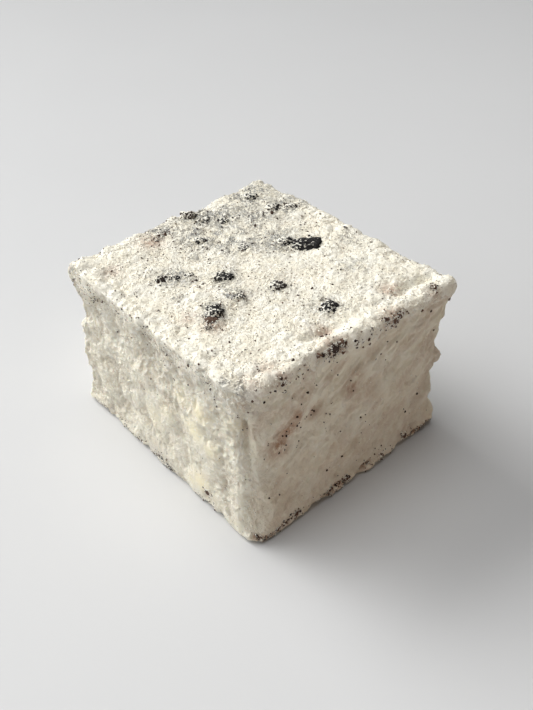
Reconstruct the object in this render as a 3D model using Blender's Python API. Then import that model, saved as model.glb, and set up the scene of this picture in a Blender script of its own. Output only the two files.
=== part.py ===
"""A hand-cut square marshmallow: one closed foam body with a flat base.

Frame: +X is the longest side, +Y the other side, +Z is up, and the origin is the
middle of the base. Lengths are in metres, and the shape is worked out in millimetres.

The body starts as a rounded block. Its four sides are then drawn in between a rim at
the top and a ragged foot at the bottom, its X sides lean, and its top gets a rolled
lip, a groove and soft swells.
"""

import itertools

import bmesh
import bpy
import numpy as np

# Driving dimensions, in millimetres
LENGTH = 46.3  # along X, at half height
WIDTH = 41.8  # along Y
HEIGHT = 29.3  # along Z
EDGE_RADIUS = 1.0  # all the block's edges and corners
TWIST = 0.9  # how far the X sides lean, out at the top on +Y and out at the base on -Y

RIM_DEPTH = 2.6  # how far the rim reaches down from the top
FOOT_DEPTH = 2.0  # how far the foot reaches up from the base
WAIST = 0.5  # how far the sides are drawn in between rim and foot
CORNER_WAIST = 0.7  # how much further they come in at the +X +Y corner
FRONT_STEP = 0.5  # the ledge below the rim of the -Y side
LUMP_WAVELENGTH = 5.5  # the foam's uneven bubbles
LUMP_HEIGHT = 0.45

LIP_X = LENGTH / 2 - 1.3  # the rolled lip along the +X top edge
LIP_START_Y = -9.0
LIP_HEIGHT = 0.55
LIP_HALF_WIDTH = 1.2
GROOVE_X = LIP_X - 2.5  # the groove behind the lip
GROOVE_DEPTH = 0.9

CUTS = (27, 24, 19)  # grid steps along X, Y and Z
EDGE_CROWDING = 0.75  # 0 spaces the grid lines evenly, 1 crowds them at the edges
MILLIMETRE = 0.001

FOAM_COLOUR = (0.80, 0.75, 0.67, 1.0)


def smooth_step(low, high, value):
    """0 below low, 1 above high, and an S-curve between."""
    ramp = np.clip((value - low) / (high - low), 0, 1)
    return ramp * ramp * (3 - 2 * ramp)


def bell(distance, half_width):
    """A bell curve: 1 at no distance, and 0.37 at half_width."""
    return np.exp(-((distance / half_width) ** 2))


def lump_noise(points, wavelength, seed):
    """Smooth noise from -1 to 1: random values on a cubic lattice, blended by S-curves."""
    size = 16
    lattice = np.random.default_rng(seed).uniform(-1, 1, (size, size, size))
    cell = np.floor(points / wavelength).astype(int)
    blend = smooth_step(0, 1, points / wavelength - cell)
    total = np.zeros(len(points))
    for corner in itertools.product((0, 1), repeat=3):
        weight = np.prod(np.where(corner, blend, 1 - blend), axis=1)
        i, j, k = ((cell + corner) % size).T
        total += weight * lattice[i, j, k]
    return total


def grid_block():
    """A block of LENGTH by WIDTH by HEIGHT, cut into a grid of quads on all six sides."""
    mesh = bmesh.new()
    bmesh.ops.create_cube(mesh, size=2)
    for axis, cuts in enumerate(CUTS):
        along = [
            edge
            for edge in mesh.edges
            if abs(edge.verts[0].co[axis] - edge.verts[1].co[axis]) > 1
        ]
        bmesh.ops.subdivide_edges(mesh, edges=along, cuts=cuts - 1, use_grid_fill=True)
    return mesh


def block_points(mesh):
    """The grid's points in millimetres, with the base at z = 0 and the lines crowded."""
    unit = np.array([vertex.co for vertex in mesh.verts])
    crowded = np.sin(unit * np.pi / 2)
    unit = unit + (crowded - unit) * EDGE_CROWDING
    return (unit + (0, 0, 1)) * np.array([LENGTH, WIDTH, HEIGHT]) / 2


def round_edges(points):
    """The block with its edges rounded: each point at EDGE_RADIUS from an inner block."""
    half = np.array([LENGTH / 2, WIDTH / 2, HEIGHT / 2])
    middle = np.array([0, 0, HEIGHT / 2])
    inner = np.clip(points - middle, EDGE_RADIUS - half, half - EDGE_RADIUS)
    offset = points - middle - inner
    reach = np.linalg.norm(offset, axis=1, keepdims=True)
    return middle + inner + offset * EDGE_RADIUS / reach


def side_inset(points):
    """How far the sides are drawn in at a point, between the rim and the foot.

    The -Y side slopes in under its rim and steps out again at two thirds of its height.
    """
    x, y, z = points.T
    ragged = lump_noise(points * (1, 1, 0), 3.5, 11)
    rim_edge = HEIGHT - RIM_DEPTH - 0.9 * ragged
    foot_edge = FOOT_DEPTH + 0.7 * ragged
    below_rim = smooth_step(rim_edge + 1.5, rim_edge - 2.5, z)
    above_foot = smooth_step(foot_edge - 1.2, foot_edge + 4.0, z)
    corner = bell(np.hypot(x - LENGTH / 2, y - WIDTH / 2), 9.0)
    waist = (WAIST + CORNER_WAIST * corner) * below_rim * above_foot

    ledge = 0.66 * HEIGHT + 0.8 * lump_noise(points * (1, 0, 0), 6.0, 12)
    slope = smooth_step(HEIGHT, ledge, z) * smooth_step(ledge - 1.8, ledge, z)
    on_front = smooth_step(-0.42 * WIDTH, -0.48 * WIDTH, y)
    return waist + FRONT_STEP * slope * on_front


def corner_crease(points):
    """How far the creases on the +X -Y corner's edge cut in, between its soft lobes."""
    x, y, z = points.T
    near = bell(np.hypot(x - LENGTH / 2, y + WIDTH / 2), 4.0)
    upper = 0.5 * bell(z - 0.74 * HEIGHT, 1.2)
    lower = 0.4 * bell(z - 0.52 * HEIGHT, 2.2)
    return near * (upper + lower)


def top_relief(points):
    """How far the top rises at a point: swells, lip, groove, corner lumps and droop."""
    x, y, _ = points.T
    flat = points * (1, 1, 0)
    swell = 0.35 * lump_noise(flat, 9.0, 21) + 0.18 * lump_noise(flat, 3.6, 22)

    lip_run = smooth_step(LIP_START_Y - 3, LIP_START_Y + 3, y)
    sway = 0.5 * lump_noise(points * (0, 1, 0), 5.0, 23)
    lip = LIP_HEIGHT * lip_run * bell(x - LIP_X - sway, LIP_HALF_WIDTH)
    groove_run = smooth_step(LIP_START_Y + 1, LIP_START_Y + 5, y)
    groove_run = groove_run * (0.75 + 0.35 * lump_noise(points * (0, 1, 0), 4.0, 24))
    groove = GROOVE_DEPTH * groove_run * bell(x - GROOVE_X - sway, 0.95)

    right_knob = 0.55 * bell(np.hypot(x - LENGTH / 2 + 0.8, y - WIDTH / 2 + 1.0), 1.5)
    left_lump = 0.50 * bell(np.hypot(x + LENGTH / 2 - 2.0, y + WIDTH / 2 - 1.0), 2.4)
    droop = 0.90 * bell(np.hypot(x - LENGTH / 2, y + WIDTH / 2), 4.5)
    return swell + lip - groove + right_knob + left_lump - droop


def shape_body(points):
    """The rounded block's points moved to the marshmallow's surface."""
    x, y, z = points.T
    inset = side_inset(points) + corner_crease(points)
    wall = smooth_step(0, 3, z) * smooth_step(HEIGHT, HEIGHT - 3, z)
    lumps = LUMP_HEIGHT * lump_noise(points, LUMP_WAVELENGTH, 31) * (0.35 + 0.65 * wall)
    ragged_rim = 0.3 * lump_noise(points * (1, 1, 0), 2.6, 32) * (1 - wall)
    outward = lumps + ragged_rim - inset
    lean = TWIST * (2 * y / WIDTH) * (2 * z / HEIGHT - 1)

    side_x = smooth_step(LENGTH / 2 - 3, LENGTH / 2, abs(x)) * np.sign(x)
    side_y = smooth_step(WIDTH / 2 - 3, WIDTH / 2, abs(y)) * np.sign(y)
    rise = top_relief(points) * smooth_step(0.72 * HEIGHT, HEIGHT, z)
    leaned_x = x * (1 + 2 * lean / LENGTH)
    return np.column_stack((leaned_x + outward * side_x, y + outward * side_y, z + rise))


def centre_on_base(points):
    """The points moved so that the middle of their box's bottom is the origin."""
    low = points.min(axis=0)
    high = points.max(axis=0)
    return points - ((low[0] + high[0]) / 2, (low[1] + high[1]) / 2, low[2])


def foam_material():
    material = bpy.data.materials.new("marshmallow_foam")
    material.use_nodes = True
    surface = material.node_tree.nodes["Principled BSDF"]
    surface.inputs["Base Color"].default_value = FOAM_COLOUR
    surface.inputs["Roughness"].default_value = 0.9
    surface.inputs["Metallic"].default_value = 0.0
    return material


def make_marshmallow():
    """The whole marshmallow, as one solid."""
    grid = grid_block()
    points = centre_on_base(shape_body(round_edges(block_points(grid))))
    for vertex, point in zip(grid.verts, points):
        vertex.co = point * MILLIMETRE
    bmesh.ops.recalc_face_normals(grid, faces=grid.faces)

    mesh = bpy.data.meshes.new("marshmallow")
    grid.to_mesh(mesh)
    grid.free()
    mesh.shade_smooth()
    mesh.materials.append(foam_material())
    body = bpy.data.objects.new("marshmallow", mesh)
    bpy.context.scene.collection.objects.link(body)


for existing in list(bpy.data.objects):
    bpy.data.objects.remove(existing)
make_marshmallow()
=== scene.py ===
"""The looks of a hand-cut square marshmallow with cookie crumbs and a dusting of powder.

Shapes are worked out in millimetres, in the frame's own directions, and put into the
meshes in metres. +X is the long way, and the origin is the middle of the base.
"""

import itertools
import math

import bmesh
import bpy
import numpy as np
from mathutils import Euler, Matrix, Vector


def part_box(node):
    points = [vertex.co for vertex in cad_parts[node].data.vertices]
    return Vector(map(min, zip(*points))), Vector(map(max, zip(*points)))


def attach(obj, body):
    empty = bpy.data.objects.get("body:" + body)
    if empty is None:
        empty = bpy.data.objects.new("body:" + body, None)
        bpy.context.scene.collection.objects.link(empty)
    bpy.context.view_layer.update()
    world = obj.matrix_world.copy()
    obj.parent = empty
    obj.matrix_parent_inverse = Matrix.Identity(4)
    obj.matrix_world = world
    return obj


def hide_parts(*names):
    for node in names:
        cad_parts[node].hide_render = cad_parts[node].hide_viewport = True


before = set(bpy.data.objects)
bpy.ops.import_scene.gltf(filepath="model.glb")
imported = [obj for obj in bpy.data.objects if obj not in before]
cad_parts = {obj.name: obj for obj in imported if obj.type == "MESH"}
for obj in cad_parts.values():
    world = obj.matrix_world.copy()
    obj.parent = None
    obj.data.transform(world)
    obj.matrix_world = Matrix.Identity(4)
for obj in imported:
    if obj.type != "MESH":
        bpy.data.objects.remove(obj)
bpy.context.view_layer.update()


# ---------------------------------------------------------------------------
# Foam body: whipped sugar foam, cut to a block with a wet knife and torn a little at
# the sides. A wall of rings runs round the block from the base to just past the top
# edge, and flat caps close it under the powder and at the base.
# ---------------------------------------------------------------------------

MILLIMETRE = 0.001
LOWEST, HIGHEST = (np.array(corner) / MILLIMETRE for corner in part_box("marshmallow"))
SPAN = HIGHEST - LOWEST

HALF_X = SPAN[0] / 2 - 0.85  # the block before it is leaned, lumped and drawn in
HALF_Y = SPAN[1] / 2 - 0.30
TOP = SPAN[2] - 1.0
EDGE_RADIUS = 1.0
TWIST = 0.9  # lean of the X sides, out at the top on +Y and out at the base on -Y
RIM_DEPTH = 2.6  # how far the rim reaches down from the top
FOOT_DEPTH = 2.0  # how far the foot reaches up from the base
WAIST = 0.5  # how far the sides are drawn in between the rim and the foot
CORNER_WAIST = 0.7  # how much further they come in at the +X +Y corner
FRONT_STEP = 0.5  # the ledge below the rim of the -Y side
LEDGE_HEIGHT = 0.66 * TOP
FRONT_RADIUS = 3.8  # the uneven round of the +X -Y edge, at its mean
LIP_INSET = 1.3  # how far the rolled lip's crest lies in from the +X edge
GROOVE_BEHIND = 2.5  # how far the groove lies behind the crest

WALL_ROUND = 720  # points round the wall
WALL_UP = 114  # rings up the wall
CAP_RINGS = 8  # rings past the top edge and past the base edge
CAP_REACH = 3.0
UNDER_CRUST = 0.7  # how far the top cap sinks, to lie under the powder


def smooth_step(low, high, value):
    """0 below low, 1 above high, and an S-curve between. It falls if low is above high."""
    ramp = np.clip((value - low) / (high - low), 0, 1)
    return ramp * ramp * (3 - 2 * ramp)


def bell(distance, half_width):
    """A bell curve: 1 at no distance, and 0.37 at half_width."""
    return np.exp(-((distance / half_width) ** 2))


def lump_noise(points, wavelength, seed):
    """Smooth noise from -1 to 1: random values on a cubic lattice, blended by S-curves."""
    size = 16
    lattice = np.random.default_rng(seed).uniform(-1, 1, (size, size, size))
    scaled = points / wavelength
    cell = np.floor(scaled).astype(int)
    blend = smooth_step(0, 1, scaled - cell)
    total = np.zeros(len(points))
    for corner in itertools.product((0, 1), repeat=3):
        weight = np.prod(np.where(corner, blend, 1 - blend), axis=1)
        i, j, k = ((cell + corner) % size).T
        total += weight * lattice[i, j, k]
    return total


def bubble_noise(points, size, seed):
    """Round bumps from 0 to 1, one in each cell of a lattice, of random place and height.

    A bump is its height times 1 - (distance / size)^2, and the highest one wins.
    """
    table = 32
    randoms = np.random.default_rng(seed).random((table, table, table, 4))
    scaled = points / size
    cell = np.floor(scaled).astype(int)
    highest = np.zeros(len(points))
    for step in itertools.product((-1, 0, 1), repeat=3):
        near = cell + step
        i, j, k = (near % table).T
        place = randoms[i, j, k]
        away = scaled - near - place[:, :3]
        bump = (1 - np.sum(away * away, axis=1)) * (0.35 + 0.65 * place[:, 3])
        np.maximum(highest, bump, out=highest)
    return highest


def on_side(points, side):
    """1 on one side of the block and 0 off it. The side is "+X", "-X", "+Y" or "-Y"."""
    axis = "XY".index(side[1])
    half = (HALF_X, HALF_Y)[axis]
    along = points[:, axis] * (1 if side[0] == "+" else -1)
    return smooth_step(half - 2.0, half - 0.2, along)


def round_edges(points):
    """The block with its edges rounded, and the directions that point out of it.

    Each point lies EDGE_RADIUS from the nearest point of an inner block.
    """
    half = np.array([HALF_X, HALF_Y, TOP / 2])
    middle = np.array([0, 0, TOP / 2])
    inner = np.clip(points - middle, EDGE_RADIUS - half, half - EDGE_RADIUS)
    offset = points - middle - inner
    outward = offset / np.linalg.norm(offset, axis=1, keepdims=True)
    return middle + inner + outward * EDGE_RADIUS, outward


def side_inset(points):
    """How far the sides are drawn in at a point, between the rim and the foot.

    The -Y side slopes in under its rim and steps out again at two thirds of its height.
    The +X -Y edge has two soft creases, and the -X -Y edge stays full under the rim.
    """
    x, y, z = points.T
    ragged = lump_noise(points * (1, 1, 0), 3.5, 11)
    rim_edge = TOP - RIM_DEPTH - 0.9 * ragged
    foot_edge = FOOT_DEPTH + 0.7 * ragged
    below_rim = smooth_step(rim_edge + 1.5, rim_edge - 2.5, z)
    above_foot = smooth_step(foot_edge - 1.2, foot_edge + 4.0, z)
    corner = bell(np.hypot(x - HALF_X, y - HALF_Y), 9.0)
    waist = (WAIST + CORNER_WAIST * corner) * below_rim * above_foot

    ledge = LEDGE_HEIGHT + 0.8 * lump_noise(points * (1, 0, 0), 6.0, 12)
    slope = smooth_step(TOP, ledge, z) * smooth_step(ledge - 1.8, ledge, z)
    crease = 0.5 * bell(z - 0.74 * TOP, 1.2) + 0.4 * bell(z - 0.52 * TOP, 2.2)
    creases = 0.6 * crease * bell(np.hypot(x - HALF_X, y + HALF_Y), 4.0)
    full = smooth_step(TOP - 8.5, TOP - 6.0, z) * smooth_step(TOP - 0.5, TOP - 2.5, z)
    full = 0.9 * full * bell(np.hypot(x + HALF_X, y + HALF_Y), 4.0)
    return waist + FRONT_STEP * slope * on_side(points, "-Y") + creases - full


def front_edge_inset(points):
    """How far the +X -Y edge comes in along X and Y, to a round of uneven radius.

    It takes the small round of EDGE_RADIUS to the larger one: each point keeps its
    direction from the larger round's centre, and comes to the radius.
    """
    x, y, z = points.T
    radius = FRONT_RADIUS + 1.1 * lump_noise(points * (0, 0, 1), 3.6, 13)
    radius = radius * (0.6 + 0.4 * smooth_step(0.5, 4.0, z))
    past = np.clip(np.column_stack((x - HALF_X, -y - HALF_Y)) + radius[:, None], 0, None)
    straight = radius - EDGE_RADIUS
    rounded = np.linalg.norm(np.clip(past - straight[:, None], 0, None), axis=1)
    reach = np.minimum(past.max(axis=1), straight) + rounded
    distance = np.maximum(np.linalg.norm(past, axis=1), 1e-6)
    return past * (1 - reach / distance)[:, None]


def top_relief(points):
    """How far the top rises at a point: swells, lip, groove, corner lumps, droop, dip."""
    x, y, _ = points.T
    flat = points * (1, 1, 0)
    swell = 0.35 * lump_noise(flat, 9.0, 21) + 0.18 * lump_noise(flat, 3.6, 22)

    sway = 0.5 * lump_noise(points * (0, 1, 0), 5.0, 23)
    lip_x = HALF_X - LIP_INSET + sway
    piled = 0.80 + 0.90 * lump_noise(points * (0.5, 1, 0), 2.0, 25)
    lip = 0.48 * piled * smooth_step(-14, -8, y) * bell(x - lip_x, 1.3)
    depth = 0.65 + 0.70 * lump_noise(points * (0, 1, 0), 3.4, 24)
    groove = 0.8 * depth * smooth_step(-8, -4, y) * bell(x - lip_x + GROOVE_BEHIND, 1.0)

    right_knob = 0.35 * bell(np.hypot(x - HALF_X + 1.4, y - HALF_Y + 1.2), 1.4)
    left_lump = 0.50 * bell(np.hypot(x + HALF_X - 2.0, y + HALF_Y - 1.0), 2.4)
    droop = 0.90 * bell(np.hypot(x - HALF_X, y + HALF_Y), 4.5)
    dip = 0.60 * bell(np.hypot(x + HALF_X - 1.5, y - 2.6), 3.5)
    return swell + lip - groove + right_knob + left_lump - droop - dip


def shape_block(points):
    """The rounded block's points moved to the marshmallow's broad shape."""
    x, y, z = points.T
    wall = smooth_step(0, 3, z) * smooth_step(TOP, TOP - 3, z)
    lumps = 0.45 * lump_noise(points, 5.5, 31) * (0.35 + 0.65 * wall)
    ragged_rim = 0.3 * lump_noise(points * (1, 1, 0), 2.6, 32) * (1 - wall)
    outward = lumps + ragged_rim - side_inset(points)
    lean = TWIST * (y / HALF_Y) * (2 * z / TOP - 1)
    side_x = smooth_step(HALF_X - 3, HALF_X, abs(x)) * np.sign(x)
    side_y = smooth_step(HALF_Y - 3, HALF_Y, abs(y)) * np.sign(y)
    rise = top_relief(points) * smooth_step(0.72 * TOP, TOP, z)
    inset = front_edge_inset(points)
    new_x = x * (1 + lean / HALF_X) + outward * side_x - inset[:, 0]
    new_y = y + outward * side_y + inset[:, 1]
    return np.column_stack((new_x, new_y, z + rise))


def streaks(points, slant, long, short, seed):
    """Wavy noise drawn out along one slanting direction, long by short in size.

    slant is the streaks' rise from the level direction, which runs on round the sides.
    """
    level = points[:, 1] - points[:, 0]
    z = points[:, 2]
    along = level * math.cos(slant) + z * math.sin(slant)
    across = z * math.cos(slant) - level * math.sin(slant)
    across = across + 0.55 * lump_noise(points, 3.2, seed + 100)
    return lump_noise(np.column_stack((along / long, across / short, z * 0)), 1, seed)


def ridges(noise, width):
    """Thin ridges from 0 to 1, along the lines where a noise crosses 0."""
    return 1 - smooth_step(0, width, abs(noise))


def spots_on(points, spots, axes):
    """The highest bell among spots, each a place on two axes, a radius and a strength."""
    total = np.zeros(len(points))
    for first, second, radius, strength in spots:
        away = np.hypot(points[:, axes[0]] - first, points[:, axes[1]] - second)
        total = np.maximum(total, strength * bell(away, radius))
    return total


YELLOW_LUMPS = (  # smooth lumps on the -Y side: x, z, radius and strength
    (12.4, 19.6, 2.0, 1.0),
    (10.4, 15.2, 2.1, 1.0),
    (14.2, 13.6, 1.6, 0.8),
    (10.6, 4.6, 2.0, 1.0),
    (8.0, 3.2, 1.3, 0.7),
    (-1.0, 10.4, 2.4, 0.5),
    (2.8, 13.6, 1.8, 0.5),
    (19.5, 21.4, 1.8, 0.4),
    (6.4, 18.8, 1.7, 0.5),
)


def torn_foam(points):
    """The relief of the torn sides: billows, lumps, bubbles, curls and the yellow lumps.

    Bubbles and curls take turns in patches. Near the front edge the broad forms fade.
    """
    billows = lump_noise(points, 4.4, 41)
    lumps = bubble_noise(points * (1, 1, 0.9), 3.3, 42)
    bubbles = bubble_noise(points, 1.3, 43)
    curls = ridges(lump_noise(points, 1.5, 44), 0.30)
    fine = lump_noise(points, 0.45, 50)
    bubbly = smooth_step(-0.3, 0.4, lump_noise(points, 5.0, 45))
    coarse = 0.36 * billows + 0.90 * (lumps - 0.45)
    to_front_edge = np.hypot(points[:, 0] - HALF_X, points[:, 1] + HALF_Y)
    coarse = coarse * (1 - 0.6 * bell(to_front_edge, 3.5))
    small = 0.44 * bubbly * (bubbles - 0.5) + 0.28 * (1 - bubbly) * (curls - 0.3)
    return coarse + small + 0.22 * fine + 0.9 * spots_on(points, YELLOW_LUMPS, (0, 2))


def cut_foam(points):
    """The relief of the cut sides: slanting folds, creases and wrinkles, dips, pores."""
    folds = streaks(points, 0.62, 7.0, 2.2, 46)
    creases = ridges(streaks(points, 0.68, 6.0, 1.9, 53), 0.40)
    wrinkles = ridges(streaks(points, 0.58, 3.0, 0.85, 47), 0.45)
    dips = lump_noise(points, 3.0, 48)
    pores = np.clip(bubble_noise(points, 1.3, 49) - 0.72, 0, 1)
    fine = lump_noise(points, 0.55, 56)
    coarse = 0.38 * folds + 0.28 * creases + 0.30 * dips
    return coarse + 0.26 * wrinkles + 0.09 * fine - 1.2 * pores


def foot_groove(points):
    """How high the crumb-filled groove runs above the base, and its depth from 0 to 1."""
    height = 1.4 + 0.6 * lump_noise(points * (1, 1, 0), 4.5, 54)
    depth = smooth_step(-0.45, 0.1, lump_noise(points * (1, 1, 0), 3.0, 63))
    return height, depth


def foot_crumble(points):
    """The ragged foot: crumbly lumps, with a broken groove above them on the +X side."""
    z = points[:, 2]
    reach = 1.5 + 0.8 * lump_noise(points * (1, 1, 0), 2.2, 51)
    lumps = smooth_step(reach + 0.6, reach - 0.5, z) * (1.1 * bubble_noise(points, 1.3, 52) - 0.35)
    height, depth = foot_groove(points)
    return lumps - 0.6 * depth * bell(z - height, 0.45) * on_side(points, "+X")


def how_torn(points):
    """1 on the -Y side, less on the front edge and the -X side, 0 on the other sides."""
    torn = np.maximum(on_side(points, "-Y"), on_side(points, "-X") * 0.8)
    torn = torn * (1 - on_side(points, "+X"))
    to_front_edge = np.hypot(points[:, 0] - HALF_X, points[:, 1] + HALF_Y)
    return np.maximum(torn, 0.85 * bell(to_front_edge, 4.0))


CORNER_EARS = ((21.0, 0.60), (11.4, 0.50), (3.0, 0.45))  # on the -X -Y edge: z and size


def foam_relief(points):
    """How far the small relief stands out: each side's own, the foot's and the edges'.

    The -X -Y edge has ears and a nick under the top one, and the +X +Y edge has a flake.
    """
    torn = how_torn(points)
    relief = torn * torn_foam(points) + (1 - torn) * cut_foam(points) + foot_crumble(points)

    x, y, z = points.T
    left_edge = bell(np.hypot(x + HALF_X, y + HALF_Y), 1.6)
    for middle, size in CORNER_EARS:
        relief = relief + size * bell(z - middle, 0.9) * left_edge
    flake_edge = bell(np.hypot(x - HALF_X, y - HALF_Y), 1.0)
    flake = smooth_step(1.6, 1.1, abs(z - 14.8 + 0.4 * lump_noise(points, 0.8, 55)))
    return relief - 0.4 * bell(z - 23.2, 0.8) * left_edge + 1.2 * flake * flake_edge


def foam_height(rounded, outward):
    """The foam's relief along outward: none on the flat base or under the powder."""
    on_wall = 1 - np.clip(outward[:, 2], 0, 1) ** 2
    return foam_relief(rounded) * on_wall * smooth_step(0, 0.6, rounded[:, 2])


def foam_skin(points):
    """The foam's surface at points of the plain block."""
    rounded, outward = round_edges(points)
    height = foam_height(rounded, outward)[:, None]
    return shape_block(rounded) + outward * (1, 1, 0) * height


def block_outline(share):
    """Points round the plain block's edge for shares 0 to 1, from the +X -Y corner."""
    lengths = np.array([2 * HALF_Y, 2 * HALF_X, 2 * HALF_Y, 2 * HALF_X])
    stops = np.concatenate(([0], np.cumsum(lengths)))
    corners_x = np.array([1, 1, -1, -1, 1]) * HALF_X
    corners_y = np.array([-1, 1, 1, -1, -1]) * HALF_Y
    distance = share * stops[-1]
    return np.interp(distance, stops, corners_x), np.interp(distance, stops, corners_y)


def inside_box(points):
    """Points eased inside the frame's box: the last bit is never quite used up.

    A point past the start of the last bit comes to end - bit * exp(-excess / bit). At
    the base a point is only lifted to the table.
    """
    bit = 0.4
    middle = (LOWEST + HIGHEST) / 2
    start = SPAN / 2 - bit
    away = points - middle
    excess = np.clip(abs(away) - start, 0, None)
    eased = np.minimum(abs(away), start) + bit * (1 - np.exp(-excess / bit))
    inside = middle + np.sign(away) * eased
    inside[:, 2] = np.where(away[:, 2] < 0, np.maximum(points[:, 2], LOWEST[2]), inside[:, 2])
    return inside


def grid_quads(rows, columns, wrap):
    """Corner numbers of a grid's quads. With wrap, the last column meets the first."""
    row = np.arange(rows - 1)[:, None]
    column = np.arange(columns if wrap else columns - 1)[None, :]
    following = (column + 1) % columns
    corners = (
        row * columns + column,
        row * columns + following,
        (row + 1) * columns + following,
        (row + 1) * columns + column,
    )
    return np.stack(np.broadcast_arrays(*corners), axis=-1).reshape(-1, 4)


def make_piece(name, points, faces, material, slot, corner_uv=None, **attributes):
    """A mesh object from points in millimetres, riding on the body with its finish.

    corner_uv holds a place on the bake map for each face corner, and attributes holds
    one number for each point.
    """
    mesh = bpy.data.meshes.new(name)
    mesh.from_pydata((inside_box(points) * MILLIMETRE).tolist(), [], faces)
    mesh.shade_smooth()
    mesh.materials.append(material)
    if corner_uv is not None:
        layer = mesh.uv_layers.new(name="OFBake")
        layer.data.foreach_set("uv", np.ravel(corner_uv))
    for label, values in attributes.items():
        attribute = mesh.attributes.new(label, "FLOAT", "POINT")
        attribute.data.foreach_set("value", np.asarray(values, dtype=np.float32))
    piece = bpy.data.objects.new(name, mesh)
    bpy.context.scene.collection.objects.link(piece)
    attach(piece, "root")
    return piece


class Socket:
    """A node's output. Arithmetic on it, either way round, adds a Math node."""

    def __init__(self, finish, output):
        self.finish = finish
        self.output = output

    def maths(self, operation, *values):
        return self.finish.node("Math", {"operation": operation}, dict(enumerate(values)))

    def __add__(self, other):
        return self.maths("ADD", self, other)

    def __radd__(self, other):
        return self.maths("ADD", other, self)

    def __sub__(self, other):
        return self.maths("SUBTRACT", self, other)

    def __rsub__(self, other):
        return self.maths("SUBTRACT", other, self)

    def __mul__(self, other):
        return self.maths("MULTIPLY", self, other)

    def __rmul__(self, other):
        return self.maths("MULTIPLY", other, self)


class Finish:
    """A material, and the one method that adds any node to it."""

    def __init__(self, name):
        self.material = bpy.data.materials.new(name)
        self.material.use_nodes = True
        self.tree = self.material.node_tree
        self.surface = self.tree.nodes["Principled BSDF"]
        self.place = self.node("TexCoord", {}, {}, "Object")

    def set_inputs(self, node, values):
        """Gives a node's sockets their values, or links them to other outputs."""
        for key, value in values.items():
            if isinstance(value, Socket):
                self.tree.links.new(value.output, node.inputs[key])
            else:
                node.inputs[key].default_value = value

    def node(self, kind, settings, values, output=0):
        """Adds a node of a kind, sets its settings, then its sockets."""
        node = self.tree.nodes.new("ShaderNode" + kind)
        for key, value in settings.items():
            setattr(node, key, value)
        self.set_inputs(node, values)
        return Socket(self, node.outputs[output])

    def noise(self, size, detail=3.0, roughness=0.55):
        """Cloud noise whose lumps are about size millimetres, from 0 to 1."""
        values = {
            "Vector": self.place,
            "Scale": 1 / (size * MILLIMETRE),
            "Detail": detail,
            "Roughness": roughness,
        }
        return self.node("TexNoise", {}, values, "Fac")

    def between(self, value, low, high):
        """0 where value is under low, 1 over high, and smooth between, either way round."""
        values = {"Value": value, "From Min": low, "From Max": high}
        return self.node("MapRange", {"interpolation_type": "SMOOTHSTEP"}, values)

    def attribute(self, name):
        """A number stored at the mesh's points."""
        return self.node("Attribute", {"attribute_name": name}, {}, "Fac")

    def blend(self, factor, first, second):
        """A colour that goes from first to second as factor goes from 0 to 1."""
        values = {0: factor, 6: first, 7: second}
        return self.node("Mix", {"data_type": "RGBA"}, values, 2)

    def bumps(self, height, depth, normal=None):
        """A Bump normal from a height of 0 to 1 that stands for depth millimetres."""
        values = {"Height": height, "Distance": depth * MILLIMETRE, "Strength": 1.0}
        if normal is not None:
            values["Normal"] = normal
        return self.node("Bump", {}, values, "Normal")


CREAM = (0.90, 0.83, 0.67, 1)
PALE_CREAM = (0.95, 0.90, 0.755, 1)
YELLOW_CREAM = (0.98, 0.90, 0.65, 1)
# brown of the blushes, also used as painted shade on the +X side
BLUSH_AND_SHADE_BROWN = (0.50, 0.31, 0.20, 1)
POWDER_WHITE = (0.975, 0.945, 0.835, 1)
# painted shade: the cream darkened for the hollows of the foam and of the powder
PAINTED_SHADE_CREAM = (0.66, 0.58, 0.46, 1)
# grey-brown of cookie grime, also used as painted shade in pits and under the -Y rim
GRIME_AND_SHADE = (0.42, 0.36, 0.30, 1)
SPECK_BROWN = (0.10, 0.062, 0.045, 1)


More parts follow.
